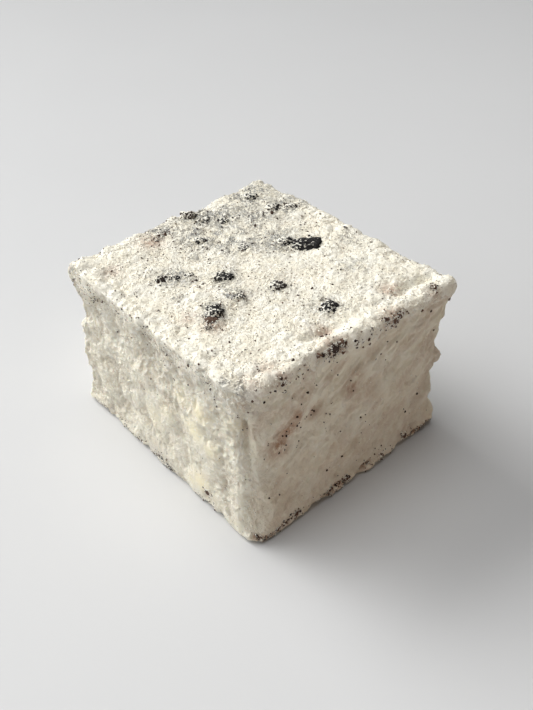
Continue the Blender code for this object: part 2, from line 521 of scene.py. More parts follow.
def foam_finish():
    """Matt cream foam: painted shade in hollows and pits, grime, a grey-brown band under the -Y rim
    that is partly painted shade, yellow lumps, brown blushes, painted shade on the +X side, powder,
    specks.
    """
    finish = Finish("marshmallow_foam")
    clouds = finish.noise(3.5)
    colour = finish.blend(finish.between(clouds, 0.35, 0.65), CREAM, PALE_CREAM)
    mottle = finish.between(finish.noise(0.60, 3.0, 0.6), 0.54, 0.38)
    torn = finish.attribute("torn")
    # painted shade: the foam darkens where its relief lies low, more on the torn sides
    hollow_shade = finish.attribute("hollow_shade") * (0.45 + 0.50 * torn)
    colour = finish.blend(hollow_shade * (0.50 + 0.80 * mottle), colour, PAINTED_SHADE_CREAM)
    # painted shade: small dark spots on the torn sides stand for the shade in pits
    pit_shade = torn * finish.between(finish.noise(0.8, 4.0, 0.7), 0.40, 0.31)
    colour = finish.blend(0.75 * pit_shade, colour, GRIME_AND_SHADE)
    # grime, and the painted shade of the band under the -Y rim
    grime_and_shade = finish.attribute("grime_and_shade") * finish.between(finish.noise(0.5, 4.0, 0.7), 0.40, 0.60)
    colour = finish.blend(grime_and_shade, colour, GRIME_AND_SHADE)
    yellow = finish.attribute("yellow")
    colour = finish.blend(yellow, colour, YELLOW_CREAM)
    # brown blushes and crumb dust, with painted shade low on the +X side and in its folds
    stain_and_shade = finish.attribute("blush_and_shade") * finish.between(finish.noise(1.2, 4.0), 0.28, 0.52)
    colour = finish.blend(stain_and_shade, colour, BLUSH_AND_SHADE_BROWN)
    dust = finish.attribute("dust") * finish.between(finish.noise(0.5, 4.0), 0.46, 0.60)
    dust = dust * (1 - yellow)
    colour = finish.blend(dust, colour, POWDER_WHITE)
    spots = finish.node(
        "TexVoronoi",
        {"feature": "F1"},
        {"Vector": finish.place, "Scale": 1 / (0.45 * MILLIMETRE)},
        "Distance",
    )
    speckle = finish.attribute("speckle") * finish.between(finish.noise(0.9, 3.0), 0.38, 0.58)
    spot = finish.between(speckle * 0.42 - spots, 0.0, 0.06)
    colour = finish.blend(spot, colour, SPECK_BROWN)

    roughness = (0.45 + 0.55 * torn) * (1 - 0.7 * yellow)
    normal = finish.bumps(roughness * finish.noise(0.50, 4.0, 0.70), 0.56)
    normal = finish.bumps(finish.noise(1.3, 3.0), 0.20, normal)
    finish.set_inputs(
        finish.surface,
        {
            "Base Color": colour,
            "Roughness": 0.82 + 0.14 * clouds,
            "Normal": normal,
            "Specular IOR Level": 0.25,
            "Subsurface Weight": 0.10,
            "Subsurface Radius": (1.0, 0.70, 0.45),
            "Subsurface Scale": 0.0012,
        },
    )
    return finish.material


BLUSHES = (  # on the +X side: y, z, radius and strength
    (-14.9, 17.0, 2.3, 1.0),
    (-13.2, 19.0, 2.1, 1.0),
    (-11.6, 21.0, 1.5, 0.9),
    (-7.6, 19.0, 1.6, 0.7),
    (-0.2, 19.2, 1.8, 0.8),
    (0.8, 21.0, 1.3, 0.6),
    (3.6, 16.5, 2.4, 0.35),
    (11.5, 14.0, 2.6, 0.30),
    (-2.5, 9.5, 3.0, 0.28),
)


DARK_PATCHES = (  # dark dusty places on the -Y side: x, z, radius and strength
    (1.8, 1.0, 1.9, 1.2),
    (-0.8, 1.0, 1.9, 1.2),
    (-3.4, 0.7, 1.4, 1.0),
    (12.0, 2.9, 1.2, 1.0),
    (-19.5, 25.5, 2.4, 0.9),
)


def wall_grid():
    """The plain block's wall and the rims of its caps, as rings of points.

    Rings come out from under the base, climb to the top edge and go inwards over the
    top. Also gives how far in over the top each ring is, from 0 to 1.
    """
    x, y = block_outline(np.arange(WALL_ROUND) / WALL_ROUND)
    inwards = np.linspace(0, 1, CAP_RINGS + 1)[1:]
    level = np.concatenate((inwards * 0, np.linspace(0, 1, WALL_UP), inwards * 0 + 1))
    inset = np.concatenate((inwards[::-1], np.zeros(WALL_UP), inwards))
    rings = np.empty((len(level), WALL_ROUND, 3))
    rings[..., 0] = x * (1 - inset[:, None] * CAP_REACH / HALF_X)
    rings[..., 1] = y * (1 - inset[:, None] * CAP_REACH / HALF_Y)
    rings[..., 2] = level[:, None] * TOP
    return rings, inset * level


def foam_masks(plain):
    """Where the foam's finish changes: one number for each point of the plain block.

    Dust is powder, speckle is dots of cookie, and the hollow mask is how low in its relief the foam
    lies, which sets the painted shade in its hollows. The grime and blush masks also hold painted
    shade.
    """
    x, y, z = plain.T
    front = on_side(plain, "-Y")
    right = on_side(plain, "+X")

    patchy = smooth_step(-0.5, 0.5, lump_noise(plain, 2.4, 65))
    corner = bell(np.hypot(x - HALF_X, y + HALF_Y), 2.6) * bell(z - TOP + 3.4, 2.2)
    # a grey-brown band under the -Y rim: cookie dust, and painted shade under the overhanging rim
    under_rim = front * smooth_step(TOP - 7.5, TOP - 2.5, z) * (0.30 + 0.50 * patchy)
    patches = np.clip(spots_on(plain, DARK_PATCHES, (0, 2)), 0, 1) * front

    rim_band = smooth_step(TOP - 9, TOP - 3, z) * smooth_step(0.2, -0.6, lump_noise(plain, 4, 61))
    corner_band = bell(np.hypot(x + HALF_X, y + HALF_Y), 6.0) * smooth_step(TOP - 8, TOP - 3, z)
    rare = 0.30 * smooth_step(0.1, 0.8, lump_noise(plain, 5.0, 62))
    foot = smooth_step(2.6, 0.8, z) * smooth_step(-0.3, 0.5, lump_noise(plain, 3.0, 63))
    speckle = np.clip(front * (0.75 * rim_band + corner_band) + rare + 0.9 * foot, 0, 1)

    height, depth = foot_groove(plain)
    groove = 0.9 * depth * bell(z - height, 0.7)
    # brownish streaks on the +X side: partly a stain, partly painted shade in the folds
    streaky = 0.30 * smooth_step(0.0, 0.6, streaks(plain, 0.66, 6.0, 2.4, 64))
    # painted shade: the +X side darker towards the bottom
    low_painted_shade = 0.16 * smooth_step(16, 4, z)
    blushes = spots_on(plain, BLUSHES, (1, 2))
    return {
        "blush_and_shade": right * np.maximum.reduce((blushes, groove, streaky, low_painted_shade)),
        "yellow": spots_on(plain, YELLOW_LUMPS, (0, 2)) * front,
        "dust": (1 - 0.75 * right * (z < TOP - 2)) * (0.55 + 0.45 * smooth_step(0.3 * TOP, TOP, z)),
        "torn": how_torn(plain),
        # how low the foam lies in its relief, which sets the painted shade in its hollows
        "hollow_shade": smooth_step(0.10, -0.50, foam_relief(round_edges(plain)[0])),
        "grime_and_shade": np.maximum.reduce((under_rim, 0.9 * patchy * corner, patches)),
        "speckle": speckle * (1 - 0.8 * right * (z > 3)),
    }


def make_foam_body():
    """The foam block: the wall, and its two caps as one face each.

    On the bake map the wall fills a sheet, and the caps lie small above it.
    """
    rings, over_top = wall_grid()
    rows, columns, _ = rings.shape
    plain = rings.reshape(-1, 3)
    points = foam_skin(plain)
    points[:, 2] -= UNDER_CRUST * smooth_step(0, 0.4, np.repeat(over_top, columns))
    quads = grid_quads(rows, columns, wrap=True)
    base_cap = np.arange(columns)[::-1]
    top_cap = np.arange((rows - 1) * columns, rows * columns)
    faces = quads.tolist() + [base_cap.tolist(), top_cap.tolist()]

    row, column = quads // columns, quads % columns
    # the last quads of a ring end at the map's far side, where column 0 would lie again
    column = np.where((column == 0) & (quads[:, 1:2] % columns == 0), columns, column)
    wall_uv = np.stack((0.01 + 0.98 * column / columns, 0.01 + 0.84 * row / rows), -1)
    cap_uv = [
        0.05 + 0.04 * rings[ring, :, :2] / HALF_X + (shift, 0.88)
        for ring, shift in ((0, 0.0), (rows - 1, 0.2))
    ]
    cap_uv[0] = cap_uv[0][::-1]
    corner_uv = np.concatenate([wall_uv.reshape(-1, 2), *cap_uv])

    body = make_piece(
        "marshmallow_foam",
        points,
        faces,
        foam_finish(),
        "marshmallow_foam",
        corner_uv,
        **foam_masks(plain),
    )
    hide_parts("marshmallow")


make_foam_body()


# ---------------------------------------------------------------------------
# Powder crust: icing sugar and starch, pressed on in soft clumps with cookie dust in
# places. It is a closed shell over the top that folds down past the rim and runs out
# there in a ragged edge under the foam's surface.
# ---------------------------------------------------------------------------

CRUST_LONG = 292  # points along X and along Y
CRUST_WIDE = 262
CRUST_FOLD = 3.2  # how far it folds down the sides
CRUST_UNDER = 0.35  # how far it lies under the foam where it has run out
CRUST_OVER = 0.05  # how far it lies over the foam, besides its own relief
FOLD_SHARE = 0.115  # the part of the grid's reach that folds down
HIDDEN_SHARE = 0.93  # how far out the ring inside the foam lies, of the fold's edge

GREY_VEIL = (0.34, 0.34, 0.33, 1)
FLECK_BLACK = (0.085, 0.080, 0.074, 1)
BROWN_DUST = (0.60, 0.46, 0.36, 1)

GREY_SMUDGES = (  # on the top: x, y, radius and strength
    (-19.5, 15.0, 4.4, 1.0),
    (-12.0, 18.0, 4.2, 0.8),
    (-19.0, 5.0, 5.0, 1.0),
    (-14.0, 0.5, 4.4, 0.9),
    (-8.5, 3.0, 4.0, 1.0),
    (-14.5, 9.5, 5.6, 0.7),
    (-4.5, 8.5, 3.6, 1.0),
    (-20.5, -3.5, 3.4, 0.9),
    (-9.0, -3.5, 3.0, 0.6),
    (-7.0, -10.2, 2.8, 0.8),
    (-1.5, -5.0, 2.4, 0.6),
    (3.6, -7.2, 2.4, 0.8),
    (4.6, -11.8, 2.6, 0.7),
    (6.0, -0.5, 1.9, 0.5),
    (14.6, 2.0, 2.6, 0.7),
    (9.0, 12.0, 2.0, 0.5),
    (4.0, 17.5, 2.4, 0.4),
    (-2.0, -13.5, 1.6, 0.6),
    (22.4, -20.0, 1.5, 0.7),
    (19.6, -20.6, 1.2, 0.6),
)
BROWN_SMUDGES = (  # on the top and its edges: x, y, radius and strength
    (HALF_X, -4.0, 2.0, 1.0),
    (HALF_X, 7.4, 2.0, 0.9),
    (HALF_X, -13.6, 1.2, 0.9),
    (HALF_X, 16.0, 1.2, 0.6),
    (21.8, -18.0, 1.6, 0.6),
    (-18.8, -7.2, 2.2, 1.0),
    (7.6, -13.8, 1.7, 1.0),
    (3.2, -15.2, 1.4, 0.7),
    (18.0, 11.7, 1.6, 1.0),
    (19.0, -2.6, 1.5, 1.0),
    (20.8, -14.5, 2.0, 0.6),
    (-15.8, -17.0, 1.6, 0.7),
)


def crust_grid():
    """The plain block's top as a square grid whose outer rings fold down its sides."""
    u = np.linspace(-1, 1, CRUST_LONG)
    v = np.linspace(-1, 1, CRUST_WIDE)
    u, v = np.meshgrid(u, v)
    reach = np.maximum(abs(u), abs(v))
    top_reach = 1 - FOLD_SHARE
    spread = np.where(reach < top_reach, 1 / top_reach, 1 / np.maximum(reach, 1e-6))
    down = np.clip((reach - top_reach) / FOLD_SHARE, 0, 1) * CRUST_FOLD
    grid = np.stack((u * spread * HALF_X, v * spread * HALF_Y, TOP - down), axis=-1)
    return grid, down.reshape(-1)


def smudged(points):
    """How dirty the powder is at points of the top, from 0 to 1."""
    patchy = smooth_step(-0.6, 0.3, lump_noise(points, 1.5, 79))
    return np.clip(1.5 * patchy * spots_on(points, GREY_SMUDGES, (0, 1)), 0, 1)


def powder_relief(points):
    """Drifts, clumps and granules of powder, rougher where it is dirty."""
    drifts = lump_noise(points, 2.8, 71)
    clumps = bubble_noise(points, 1.7, 72)
    granules = bubble_noise(points, 0.75, 73)
    grit = lump_noise(points, 0.34, 74)
    rough = 0.7 * smooth_step(-0.2, 0.7, lump_noise(points, 4.0, 77))
    rough = np.maximum(rough, smudged(points))
    to_edge = np.minimum(HALF_X - abs(points[:, 0]), HALF_Y - abs(points[:, 1]))
    at_edge = smooth_step(6.0, 1.0, to_edge)
    soft = 0.16 * drifts + (0.18 + 0.42 * np.maximum(at_edge, rough)) * (clumps - 0.4)
    return soft + (0.13 + 0.15 * rough) * granules + (0.07 + 0.05 * rough) * grit


def crust_height(rounded, outward, down):
    """The crust's height along outward, where down is how far it is below the rim.

    Where the ragged cover runs out, the crust dips under the foam's surface.
    """
    relief = powder_relief(rounded)
    ragged = 1.3 + 1.0 * lump_noise(rounded, 2.6, 75) + 0.9 * lump_noise(rounded, 1.0, 76)
    ragged = ragged + 0.4 * (on_side(rounded, "+X") - on_side(rounded, "-Y"))
    ragged = np.maximum(ragged, 0.7)
    cover = smooth_step(ragged + 0.3, ragged - 0.3, down)
    foam = foam_height(rounded, outward)
    thin = 1 - 0.3 * smooth_step(0.2, 2.0, down)
    sunk = foam - CRUST_UNDER
    proud = 0.85 * foam + thin * relief + CRUST_OVER
    return sunk + (proud - sunk) * cover


def crust_finish():
    """Dry white powder: a mottle darkened as painted shade in the powder's hollows, dirt, a grey
    veil, brown smudges, black flecks.
    """
    finish = Finish("sugar_dusting")
    clouds = finish.noise(2.2)
    colour = finish.blend(finish.between(clouds, 0.35, 0.65), PALE_CREAM, POWDER_WHITE)
    grains = finish.noise(0.36, 3.0, 0.7)
    grey = finish.attribute("grey")
    mottle = finish.between(finish.noise(0.30, 2.0, 0.6), 0.54, 0.36)
    # painted shade: the powder darkens where its relief lies low, with a faint mottle of tone
    # everywhere
    hollow_shade = finish.attribute("hollow_shade")
    colour = finish.blend((0.10 + 0.80 * hollow_shade) * mottle, colour, PAINTED_SHADE_CREAM)
    dirt = finish.between(finish.noise(0.75, 3.0, 0.75), 0.61, 0.69)
    colour = finish.blend(0.65 * dirt, colour, GRIME_AND_SHADE)
    veil = grey * finish.between(finish.noise(0.7, 4.0, 0.7), 0.42, 0.58)
    colour = finish.blend(0.90 * veil, colour, GREY_VEIL)
    brown = finish.attribute("brown") * finish.between(finish.noise(0.7, 4.0), 0.30, 0.56)
    colour = finish.blend(brown, colour, BROWN_DUST)
    flecks = finish.between(grains + 0.05 * grey, 0.67, 0.71)
    colour = finish.blend(flecks, colour, FLECK_BLACK)
    normal = finish.bumps((0.7 + 0.3 * grey) * finish.noise(0.28, 2.0, 0.7), 0.30)
    finish.set_inputs(
        finish.surface,
        {
            "Base Color": colour,
            "Roughness": 0.88 + 0.10 * grains,
            "Normal": normal,
            "Specular IOR Level": 0.2,
        },
    )
    return finish.material


def crust_masks(plain, rounded, down):
    """Where the crust is greyed, browned, or low in its relief, which sets the painted shade in its
    hollows: one number for each point.
    """
    dirty_fold = on_side(plain, "-Y") * smooth_step(0.3, 1.6, down)
    dirty_fold = dirty_fold * smooth_step(-0.5, 0.5, lump_noise(plain, 2.4, 65))
    return {
        "grey": np.maximum(smudged(plain) * smooth_step(2.4, 0.6, down), 0.35 * dirty_fold),
        "brown": np.maximum(spots_on(plain, BROWN_SMUDGES, (0, 1)), 0.45 * dirty_fold),
        # how low the powder lies in its relief, which sets the painted shade in its hollows
        "hollow_shade": smooth_step(0.22, -0.05, powder_relief(rounded)),
    }


def make_crust():
    """The powder crust, closed by a hidden ring and cap inside the foam.

    On the bake map the grid fills a square, with the skirt and the cap above it.
    """
    grid, down = crust_grid()
    rows, columns, _ = grid.shape
    plain = grid.reshape(-1, 3)
    rounded, outward = round_edges(plain)
    height = crust_height(rounded, outward, down)[:, None]
    points = shape_block(rounded) + outward * height
    quads = grid_quads(rows, columns, wrap=False)
    last = rows * columns - 1
    edge = np.concatenate(
        (
            np.arange(columns - 1),
            np.arange(columns - 1, last, columns),
            np.arange(last, last - columns + 1, -1),
            np.arange(last - columns + 1, 0, -columns),
        )
    )
    # the hidden ring lies further in, a little below the end of the fold
    hidden = points[edge] * (HIDDEN_SHARE, HIDDEN_SHARE, 0) + (0, 0, TOP - CRUST_FOLD - 0.3)
    inner = len(points) + np.arange(len(edge))
    skirt = np.stack((np.roll(edge, -1), edge, inner, np.roll(inner, -1)), axis=1)
    faces = quads.tolist() + skirt.tolist() + [inner[::-1].tolist()]

    grid_uv = np.stack((quads % columns / columns, quads // columns / rows), axis=-1)
    share = np.arange(len(edge)) / len(edge)
    on = 1 / len(edge)
    skirt_corners = [
        np.stack((0.02 + 0.90 * (share + step), share * 0 + up), axis=-1)
        for step, up in ((on, 0.94), (0, 0.94), (0, 0.96), (on, 0.96))
    ]
    skirt_uv = np.stack(skirt_corners, axis=1)
    cap_uv = 0.96 + 0.02 * hidden[::-1, :2] / HALF_X
    corner_uv = np.concatenate(
        [0.01 + 0.90 * grid_uv.reshape(-1, 2), skirt_uv.reshape(-1, 2), cap_uv]
    )

    masks = {
        name: np.concatenate((mask, np.zeros(len(edge))))
        for name, mask in crust_masks(plain, rounded, down).items()
    }
    make_piece(
        "sugar_crust",
        np.concatenate((points, hidden)),
        faces,
        crust_finish(),
        "sugar_dusting",
        corner_uv,
        **masks,
    )


make_crust()


# ---------------------------------------------------------------------------
# Cookie chunks: broken black biscuit, the largest half sunk in the top, the rest at
# the rim and along the foot. Each is a knobbly ball with powder caught on it.
# ---------------------------------------------------------------------------

CHUNKS = (  # x, y, z on the plain block, length, width, height, turn, dust, brown
    (-0.2, 12.0, TOP, 6.2, 3.8, 1.9, 50, 0.16, 0.0),
    (-3.3, 9.6, TOP, 3.6, 2.9, 1.4, 60, 0.42, 0.0),
    (-8.4, -12.2, TOP, 2.6, 2.0, 1.1, 60, 0.30, 0.1),
    (-7.0, -10.4, TOP, 2.0, 1.3, 0.8, 50, 0.40, 0.0),
    (-6.0, -8.6, TOP, 1.8, 1.2, 0.8, 60, 0.42, 0.0),
    (-1.5, -5.3, TOP, 3.3, 2.5, 1.4, 52, 0.26, 0.0),
    (5.0, -11.5, TOP, 3.4, 2.9, 1.4, 100, 0.30, 0.0),
    (6.3, -13.1, TOP, 2.2, 1.9, 1.1, 60, 0.05, 0.6),
    (7.4, -14.6, TOP, 1.2, 1.0, 0.6, 30, 0.40, 1.0),
    (4.6, -6.6, TOP, 2.4, 1.4, 0.9, 50, 0.42, 0.0),
    (6.3, -0.4, TOP, 2.8, 2.5, 1.5, 60, 0.32, 0.1),
    (15.2, 1.9, TOP, 3.3, 2.8, 1.5, 50, 0.32, 0.0),
    (-HALF_X + 1.4, 2.6, TOP + 0.5, 3.0, 2.8, 3.4, 0, 0.44, 0.2),
    (-18.7, 14.7, TOP, 3.4, 2.7, 1.3, 15, 0.45, 0.0),
    (-13.2, 15.2, TOP, 2.8, 2.3, 1.2, 70, 0.45, 0.0),
    (-11.0, 18.0, TOP, 2.9, 2.2, 1.1, 40, 0.42, 0.1),
    (-18.2, 3.7, TOP, 2.9, 2.3, 1.2, 25, 0.44, 0.0),
    (-12.8, -1.1, TOP, 2.6, 2.0, 1.1, 50, 0.44, 0.0),
    (-6.3, 3.4, TOP, 2.7, 2.2, 1.1, 10, 0.45, 0.0),
    (-16.0, 6.2, TOP, 2.5, 2.0, 1.1, 0, 0.44, 0.0),
    (-19.5, -5.0, TOP, 1.8, 1.3, 0.7, 40, 0.40, 0.5),
    (HALF_X, -4.0, TOP - 0.8, 1.7, 1.3, 1.1, 20, 0.10, 0.25),
    (HALF_X, -2.6, TOP - 0.3, 1.5, 1.0, 0.9, 70, 0.34, 0.8),
    (HALF_X, -5.4, TOP - 0.5, 1.2, 0.9, 0.7, 0, 0.34, 0.9),
    (HALF_X, 7.2, TOP - 1.1, 1.3, 1.0, 0.8, 15, 0.22, 0.8),
    (HALF_X, 8.8, TOP - 0.6, 1.2, 0.9, 0.7, 50, 0.34, 1.0),
    (HALF_X, 6.0, TOP - 0.4, 1.0, 0.8, 0.7, 30, 0.40, 0.9),
    (HALF_X - 1.0, 16.6, TOP, 1.0, 0.8, 0.7, 30, 0.35, 0.8),
    (HALF_X - 3.2, -3.0, TOP, 1.0, 0.8, 0.6, 80, 0.20, 0.9),
    (HALF_X, -13.6, TOP - 1.2, 0.8, 0.7, 0.5, 50, 0.30, 0.9),
    (HALF_X, 12.6, 1.4, 1.2, 0.8, 0.7, 10, 0.10, 0.6),
    (HALF_X, 6.4, 1.5, 1.3, 0.8, 0.7, 5, 0.15, 0.8),
    (HALF_X, -1.4, 1.3, 1.1, 0.7, 0.6, 5, 0.15, 0.8),
    (HALF_X, -5.0, 1.3, 1.0, 0.7, 0.7, 0, 0.15, 0.8),
    (HALF_X, -12.4, 1.5, 1.1, 0.8, 0.7, 10, 0.15, 0.8),
    (HALF_X, -16.4, 1.2, 0.9, 0.7, 0.6, 0, 0.15, 0.8),
    (1.6, -HALF_Y, 1.0, 1.8, 1.1, 0.9, 0, 0.35, 0.1),
    (-0.6, -HALF_Y, 1.2, 1.3, 1.0, 0.8, 40, 0.42, 0.1),
    (-2.4, -HALF_Y, 0.9, 1.4, 0.9, 0.8, 10, 0.42, 0.1),
    (12.0, -HALF_Y, 3.4, 1.3, 1.0, 0.7, 20, 0.20, 0.6),
    (-6.0, HALF_Y, 1.1, 1.9, 1.2, 0.9, 5, 0.20, 0.5),
    (11.0, HALF_Y, 1.0, 1.6, 1.2, 0.9, 15, 0.10, 0.6),
    (-14.0, HALF_Y, TOP - 1.0, 1.8, 1.3, 1.0, 5, 0.35, 0.4),
    (-HALF_X, 13.0, 1.0, 1.8, 1.2, 0.9, 0, 0.20, 0.5),
    (-HALF_X, -9.0, TOP - 1.2, 1.7, 1.3, 1.0, 5, 0.35, 0.4),
)
CHUNK_RINGS = 16
CHUNK_SPOKES = 26
CHUNK_SUNK = 0.10  # how far a chunk's middle lies under the skin, in half heights

COOKIE_BLACKS = ((0.006, 0.006, 0.007, 1), (0.030, 0.027, 0.027, 1))  # the darkest, the lightest
COOKIE_BROWNS = ((0.07, 0.035, 0.022, 1), (0.30, 0.18, 0.12, 1))


def outer_skin(plain):
    """The outermost surface, crust or foam, at points of the plain block.

    Also gives the direction that points out of it.
    """
    rounded, outward = round_edges(plain)
    down = np.clip(TOP - plain[:, 2], 0, None)
    crust = crust_height(rounded, outward, down)
    bare = foam_height(rounded, outward)
    height = np.where(down < CRUST_FOLD, np.maximum(crust, bare), bare)
    return shape_block(rounded) + outward * height[:, None], outward


def ball_grid(rings, spokes):
    """A unit ball as rings of points from pole to pole, and its quads and end fans."""
    polar = np.linspace(0, math.pi, rings)[1:-1, None]
    turn = np.linspace(0, 2 * math.pi, spokes, endpoint=False)[None, :]
    around = (np.sin(polar) * np.cos(turn), np.sin(polar) * np.sin(turn))
    ball = np.stack((*around, np.broadcast_to(np.cos(polar), around[0].shape)), axis=-1)
    points = np.concatenate((ball.reshape(-1, 3), [[0, 0, 1], [0, 0, -1]]))
    quads = grid_quads(rings - 2, spokes, wrap=True)[:, ::-1]
    spoke = np.arange(spokes)
    after = (spoke + 1) % spokes
    last = (rings - 3) * spokes
    top = np.stack((spoke, after, spoke * 0 + last + spokes), axis=1)
    bottom = np.stack((last + after, last + spoke, spoke * 0 + last + spokes + 1), axis=1)
    return points, [*quads.tolist(), *top.tolist(), *bottom.tolist()]


def tangent_frame(outward):
    """Rows of along, up and outward directions for each surface direction.

    On the top, along is +X and up is +Y. On a side, along is level.
    """
    up = np.where(outward[:, 2:] > 0.8, (0.0, 1.0, 0.0), (0.0, 0.0, 1.0))
    level = np.cross(up, outward)
    level /= np.linalg.norm(level, axis=1, keepdims=True)
    return np.stack((level, np.cross(outward, level), outward), axis=1)


def cookie_finish():
    """Black to brown biscuit, grainy and dry, with powder caught where dust is high."""
    finish = Finish("cookie_crumb")
    grain = finish.noise(0.35, 5.0, 0.7)
    black = finish.blend(grain, *COOKIE_BLACKS)
    brown = finish.blend(grain, *COOKIE_BROWNS)
    colour = finish.blend(finish.attribute("brown"), black, brown)
    dust = finish.noise(0.40, 2.0, 0.6) + 0.55 * finish.attribute("dust")
    powder = finish.between(dust, 0.70, 0.77)
    colour = finish.blend(powder, colour, POWDER_WHITE)
    normal = finish.bumps(finish.noise(0.30, 5.0, 0.7), 0.25)
    finish.set_inputs(
        finish.surface,
        {
            "Base Color": colour,
            "Roughness": 0.66 + 0.3 * grain,
            "Normal": normal,
            "Specular IOR Level": 0.25,
        },
    )
    return finish.material


def make_chunks():
    """All the chunks as one mesh: balls stretched, knobbled, turned and half sunk."""
    rows = np.array(CHUNKS)
    centres, outward = outer_skin(rows[:, :3])
    frames = tangent_frame(outward)
    ball, faces = ball_grid(CHUNK_RINGS, CHUNK_SPOKES)
    points, joined, dust, brown = [], [], [], []
    for number, row in enumerate(rows):
        size, turn = row[3:6] / 2, math.radians(row[6])
        knobs = 0.72 + 0.36 * bubble_noise(ball * row[3] * 0.5 + 9 * number, 0.6, 81)
        knobs += 0.26 * lump_noise(ball + 7 * number, 0.45, 82)
        knobs += 0.34 * lump_noise(ball + 5 * number, 1.1, 83)
        shape = ball * size * knobs[:, None]
        along, across = math.cos(turn), math.sin(turn)
        spin = np.array([[along, across, 0], [-across, along, 0], [0, 0, 1]])
        sunk = centres[number] - outward[number] * size[2] * CHUNK_SUNK
        start = number * len(ball)
        points.append(shape @ spin @ frames[number] + sunk)
        joined += [[corner + start for corner in face] for face in faces]
        dust += (row[7] - 0.14 * ball[:, 0]).tolist()
        brown += [row[8]] * len(ball)
    points = np.concatenate(points)
    make_piece("cookie_chunks", points, joined, COOKIE, "cookie_crumb", dust=dust, brown=brown)


COOKIE = cookie_finish()
make_chunks()


# ---------------------------------------------------------------------------
# Cookie crumbs and specks: biscuit broken down to a millimetre and less. They lie round
# the chunks, over the top, along the rim and in the groove above the foot, and here and
# there in the cut foam. Each is a small ball with its points pulled about.
# ---------------------------------------------------------------------------

CRUMB_LIFT = 0.10  # how far a crumb's middle stands out of the skin, in its own radii
SPECK_LIFT = 0.15

CUT_SIDE_SPECKS = (  # on the +X side: y, z and diameter
    (-9.6, 24.1, 0.45), (-7.6, 24.1, 0.30), (-5.1, 27.0, 0.40), (-0.2, 27.0, 0.42),
    (4.6, 22.2, 0.38), (15.8, 26.0, 0.40), (15.6, 22.1, 0.36), (1.8, 12.3, 0.42),
    (2.6, 12.5, 0.30), (16.0, 8.4, 0.45), (13.0, 6.4, 0.45), (12.4, 7.4, 0.40),
    (-2.3, 6.7, 0.42), (-5.9, 6.3, 0.50), (-0.5, 20.9, 0.35), (-0.1, 18.8, 0.50),
    (-11.6, 20.7, 0.40), (-12.6, 19.9, 0.34), (-11.9, 19.4, 0.38), (-11.2, 19.2, 0.46),
    (-11.5, 18.8, 0.40), (-13.4, 18.9, 0.36), (-14.1, 18.3, 0.36), (-13.6, 18.2, 0.40),
    (-7.8, 19.0, 0.36), (-7.4, 18.6, 0.34), (-8.0, 18.2, 0.32), (-13.6, 16.3, 0.34),
    (-14.9, 15.6, 0.42), (-13.8, 15.4, 0.36), (-10.6, 17.8, 0.34), (-5.4, 17.2, 0.30),
    (-4.6, 16.6, 0.32), (-10.8, 15.0, 0.30), (-17.6, 8.6, 0.34), (-15.2, 7.2, 0.30),
)


def ball_shape(rounds):
    """The points and faces of a ball of triangles: 20 faces for 1 round, 80 for 2."""
    ball = bmesh.new()
    bmesh.ops.create_icosphere(ball, subdivisions=rounds, radius=1.0)
    points = np.array([vertex.co for vertex in ball.verts])
    faces = np.array([[vertex.index for vertex in face.verts] for face in ball.faces])
    ball.free()
    return points, faces


def random_turns(count, random):
    """Random rotation matrices, from random unit quaternions."""
    q = random.normal(size=(count, 4))
    w, x, y, z = (q / np.linalg.norm(q, axis=1, keepdims=True)).T
    rows = (
        (1 - 2 * (y * y + z * z), 2 * (x * y - z * w), 2 * (x * z + y * w)),
        (2 * (x * y + z * w), 1 - 2 * (x * x + z * z), 2 * (y * z - x * w)),
        (2 * (x * z - y * w), 2 * (y * z + x * w), 1 - 2 * (x * x + y * y)),
    )
    return np.stack([np.stack(row, axis=-1) for row in rows], axis=1)


GRAIN_PULL = (0.65, 1.25)  # the least and the most that a point is pulled in or out
GRAIN_STRETCH = (0.7, 1.2)  # the least and the most that a grain is stretched each way


def scatter(name, shape, plain, diameters, lift, material, slot, **attributes):
    """One mesh of grains on the outer skin, each random in turn and pulled about.

    lift is how far a grain's middle stands out of the skin, in its own radii.
    """
    random = np.random.default_rng(len(plain))
    centres, outward = outer_skin(plain)
    radii = diameters[:, None] / 2
    centres = centres + outward * radii * lift
    corners, faces = shape
    count = len(plain)
    pulled = corners[None] * random.uniform(*GRAIN_PULL, (count, len(corners), 1))
    pulled = pulled * random.uniform(*GRAIN_STRETCH, (count, 1, 3))
    points = pulled @ random_turns(count, random) * radii[:, None] + centres[:, None]
    joined = (np.arange(count)[:, None, None] * len(corners) + faces).reshape(-1, 3)
    masks = {label: np.repeat(values, len(corners)) for label, values in attributes.items()}
    make_piece(name, points.reshape(-1, 3), joined.tolist(), material, slot, **masks)


def on_top(random, count):
    """Random points on the plain top."""
    spread = random.uniform(-1, 1, (count, 2)) * (HALF_X, HALF_Y)
    return np.column_stack((spread, np.full(count, TOP)))


def on_wall(random, count, low, high):
    """Random points round the plain wall between two heights."""
    x, y = block_outline(random.random(count))
    return np.column_stack((x, y, random.uniform(low, high, count)))


def keep(points, chance, random):
    """The points that a chance from 0 to 1 lets stay."""
    return points[random.random(len(points)) < chance]


